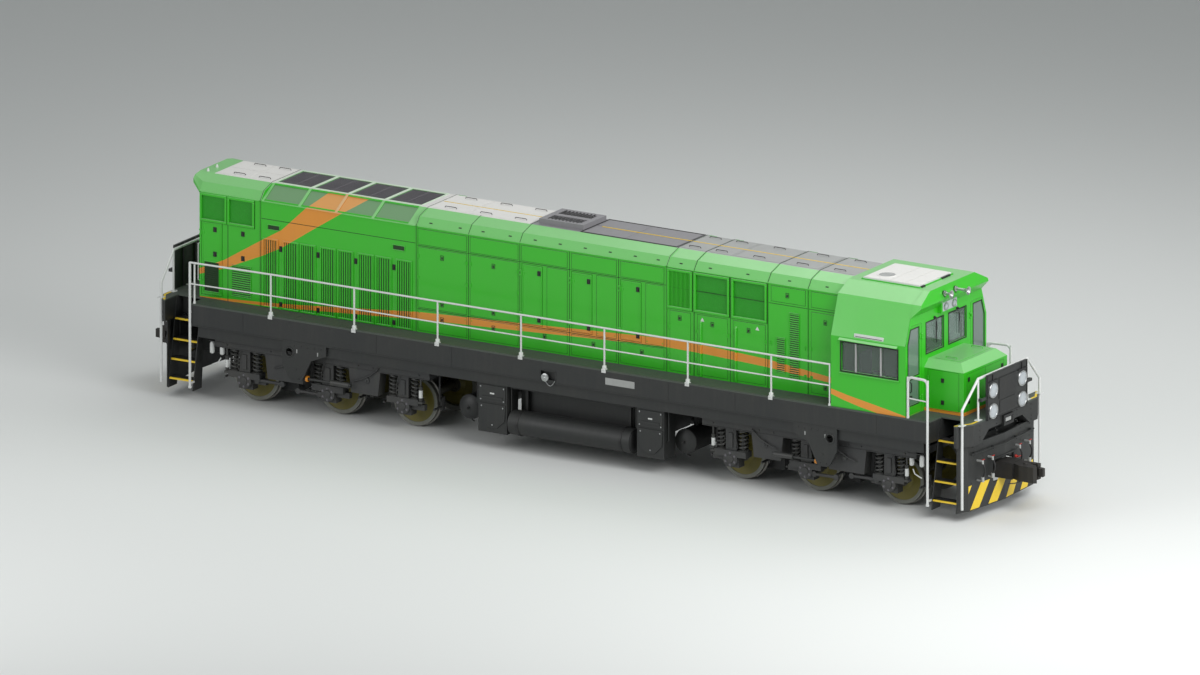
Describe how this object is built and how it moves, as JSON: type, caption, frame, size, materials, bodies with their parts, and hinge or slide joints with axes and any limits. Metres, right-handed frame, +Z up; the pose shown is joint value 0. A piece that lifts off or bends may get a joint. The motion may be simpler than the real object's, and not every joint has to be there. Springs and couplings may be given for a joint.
{
  "type": "diesel locomotive",
  "caption": "Road-switcher diesel locomotive on two three-axle bogies, with a long hood, a wide cab and a short nose, side walkways and corner stairs.",
  "frame": {"origin": "middle of the footprint, level with the bottoms of the wheel flanges", "axes": "+X to the cab end, +Y to the left side, +Z up; the rail head is 28 mm above the origin"},
  "size_m": [21.2, 3.3318, 4.7199],
  "materials": {
    "wheel_steel": "painted olive-brown with a bare tread",
    "running_gear_grey": "dark grey paint, satin",
    "spring_steel": "dark grey paint, satin",
    "body_green": "bright green gloss paint",
    "cast_steel": "bare dark casting",
    "frame_grey": "dark grey paint, satin",
    "deck_grey": "grey anti-slip paint",
    "handrail_white": "pale grey gloss paint",
    "shutter_grey": "dark grey paint",
    "grille_green": "green painted mesh",
    "engine_paint": "grey engine paint",
    "glass": "tinted safety glass",
    "cab_interior_grey": "moulded console",
    "seat_fabric": "woven seat cover",
    "lamp_glass": "clear lens",
    "horn_metal": "polished",
    "hose_rubber": "black hose with bright fittings",
    "roof_white": "light grey paint"
  },
  "bodies": {
    "root": {"air_conditioner": "roof_white", "air_reservoirs": "frame_grey", "brake_hoses": "hose_rubber", "cab_desk": "cab_interior_grey", "cab_glass": "glass", "cab_roof": "body_green", "cab_seats": "seat_fabric", "cab_shell": "body_green", "cooling_hood": "body_green", "cross_beams": "frame_grey", "deck": "deck_grey", "electrical_hood": "body_green", "end_handrails": "handrail_white", "engine_block": "engine_paint", "engine_hood": "body_green", "equipment_boxes": "frame_grey", "fuel_tank": "frame_grey", "hood_grilles": "grille_green", "hood_windows": "glass", "horns": "horn_metal", "lamp_panels": "frame_grey", "lamps": "lamp_glass", "lifting_brackets": "frame_grey", "nose": "body_green", "pilots": "frame_grey", "rear_hood": "body_green", "roof_shutters": "shutter_grey", "side_handrails": "handrail_white", "silencer": "shutter_grey", "stairs": "frame_grey", "underframe": "frame_grey"},
    "front_bogie": {"front_axle_boxes": "running_gear_grey", "front_bogie_frame": "running_gear_grey", "front_motors": "running_gear_grey", "front_springs": "spring_steel"},
    "front_coupler_body": {"front_coupler": "cast_steel"},
    "front_knuckle_body": {"front_knuckle": "cast_steel"},
    "rear_bogie": {"rear_axle_boxes": "running_gear_grey", "rear_bogie_frame": "running_gear_grey", "rear_motors": "running_gear_grey", "rear_springs": "spring_steel"},
    "rear_coupler_body": {"rear_coupler": "cast_steel"},
    "rear_knuckle_body": {"rear_knuckle": "cast_steel"},
    "wheelset_1_body": {"wheelset_1": "wheel_steel"},
    "wheelset_2_body": {"wheelset_2": "wheel_steel"},
    "wheelset_3_body": {"wheelset_3": "wheel_steel"},
    "wheelset_4_body": {"wheelset_4": "wheel_steel"},
    "wheelset_5_body": {"wheelset_5": "wheel_steel"},
    "wheelset_6_body": {"wheelset_6": "wheel_steel"},
    "cab_front_left_door_body": {"cab_front_left_door": "body_green"},
    "cab_front_right_door_body": {"cab_front_right_door": "body_green"},
    "cab_rear_door_body": {"cab_rear_door": "body_green"},
    "cabinet_door_left_body": {"cabinet_door_left": "body_green"},
    "cabinet_door_right_body": {"cabinet_door_right": "body_green"},
    "engine_door_left_1_body": {"engine_door_left_1": "body_green"},
    "engine_door_left_2_body": {"engine_door_left_2": "body_green"},
    "engine_door_left_3_body": {"engine_door_left_3": "body_green"},
    "engine_door_right_1_body": {"engine_door_right_1": "body_green"},
    "engine_door_right_2_body": {"engine_door_right_2": "body_green"},
    "engine_door_right_3_body": {"engine_door_right_3": "body_green"}
  },
  "joints": [
    {"name": "front_bogie_swivel", "type": "hinge", "parent": "root", "child": "front_bogie", "pos_m": [5.83, 0, 1.34], "axis": [0, 0, 1], "range_deg": [-4, 4]},
    {"name": "front_coupler_swing", "type": "hinge", "parent": "root", "child": "front_coupler_body", "pos_m": [9.05, 0, 0.88], "axis": [0, 0, 1], "range_deg": [-8, 8]},
    {"name": "front_knuckle_pin", "type": "hinge", "parent": "front_coupler_body", "child": "front_knuckle_body", "pos_m": [10.41, 0.095, 0.88], "axis": [0, 0, 1], "range_deg": [0, 40]},
    {"name": "rear_bogie_swivel", "type": "hinge", "parent": "root", "child": "rear_bogie", "pos_m": [-5.83, 0, 1.34], "axis": [0, 0, 1], "range_deg": [-4, 4]},
    {"name": "rear_coupler_swing", "type": "hinge", "parent": "root", "child": "rear_coupler_body", "pos_m": [-9.05, 0, 0.88], "axis": [0, 0, 1], "range_deg": [-8, 8]},
    {"name": "rear_knuckle_pin", "type": "hinge", "parent": "rear_coupler_body", "child": "rear_knuckle_body", "pos_m": [-10.41, -0.095, 0.88], "axis": [0, 0, 1], "range_deg": [0, 40]},
    {"name": "wheelset_1_spin", "type": "hinge", "parent": "front_bogie", "child": "wheelset_1_body", "pos_m": [7.73, 0, 0.553], "axis": [0, 1, 0], "continuous": true},
    {"name": "wheelset_2_spin", "type": "hinge", "parent": "front_bogie", "child": "wheelset_2_body", "pos_m": [5.73, 0, 0.553], "axis": [0, 1, 0], "continuous": true},
    {"name": "wheelset_3_spin", "type": "hinge", "parent": "front_bogie", "child": "wheelset_3_body", "pos_m": [3.93, 0, 0.553], "axis": [0, 1, 0], "continuous": true},
    {"name": "wheelset_4_spin", "type": "hinge", "parent": "rear_bogie", "child": "wheelset_4_body", "pos_m": [-3.93, 0, 0.553], "axis": [0, 1, 0], "continuous": true},
    {"name": "wheelset_5_spin", "type": "hinge", "parent": "rear_bogie", "child": "wheelset_5_body", "pos_m": [-5.73, 0, 0.553], "axis": [0, 1, 0], "continuous": true},
    {"name": "wheelset_6_spin", "type": "hinge", "parent": "rear_bogie", "child": "wheelset_6_body", "pos_m": [-7.73, 0, 0.553], "axis": [0, 1, 0], "continuous": true},
    {"name": "cabinet_door_left_hinge", "type": "hinge", "parent": "root", "child": "cabinet_door_left_body", "pos_m": [-8.93, 1.046, 2.93], "axis": [0, 0, 1], "range_deg": [0, 90]},
    {"name": "cabinet_door_right_hinge", "type": "hinge", "parent": "root", "child": "cabinet_door_right_body", "pos_m": [-8.93, -1.046, 2.93], "axis": [0, 0, -1], "range_deg": [0, 90]},
    {"name": "engine_door_left_1_hinge", "type": "hinge", "parent": "root", "child": "engine_door_left_1_body", "pos_m": [-1.25, 1.046, 3.25], "axis": [0, 0, 1], "range_deg": [0, 90]},
    {"name": "engine_door_left_2_hinge", "type": "hinge", "parent": "root", "child": "engine_door_left_2_body", "pos_m": [-0.06, 1.046, 3.25], "axis": [0, 0, 1], "range_deg": [0, 90]},
    {"name": "engine_door_left_3_hinge", "type": "hinge", "parent": "root", "child": "engine_door_left_3_body", "pos_m": [1.12, 1.046, 3.25], "axis": [0, 0, 1], "range_deg": [0, 90]},
    {"name": "engine_door_right_1_hinge", "type": "hinge", "parent": "root", "child": "engine_door_right_1_body", "pos_m": [-1.25, -1.046, 3.25], "axis": [0, 0, -1], "range_deg": [0, 90]},
    {"name": "engine_door_right_2_hinge", "type": "hinge", "parent": "root", "child": "engine_door_right_2_body", "pos_m": [-0.06, -1.046, 3.25], "axis": [0, 0, -1], "range_deg": [0, 90]},
    {"name": "engine_door_right_3_hinge", "type": "hinge", "parent": "root", "child": "engine_door_right_3_body", "pos_m": [1.12, -1.046, 3.25], "axis": [0, 0, -1], "range_deg": [0, 90]},
    {"name": "cab_front_right_door_hinge", "type": "hinge", "parent": "root", "child": "cab_front_right_door_body", "pos_m": [8.306, -0.97, 3], "axis": [0, 0, 1], "range_deg": [0, 90]},
    {"name": "cab_front_left_door_hinge", "type": "hinge", "parent": "root", "child": "cab_front_left_door_body", "pos_m": [8.306, 0.97, 3], "axis": [0, 0, -1], "range_deg": [0, 90]},
    {"name": "cab_rear_door_hinge", "type": "hinge", "parent": "root", "child": "cab_rear_door_body", "pos_m": [6.484, 1.44, 3], "axis": [0, 0, -1], "range_deg": [0, 90]}
  ]
}
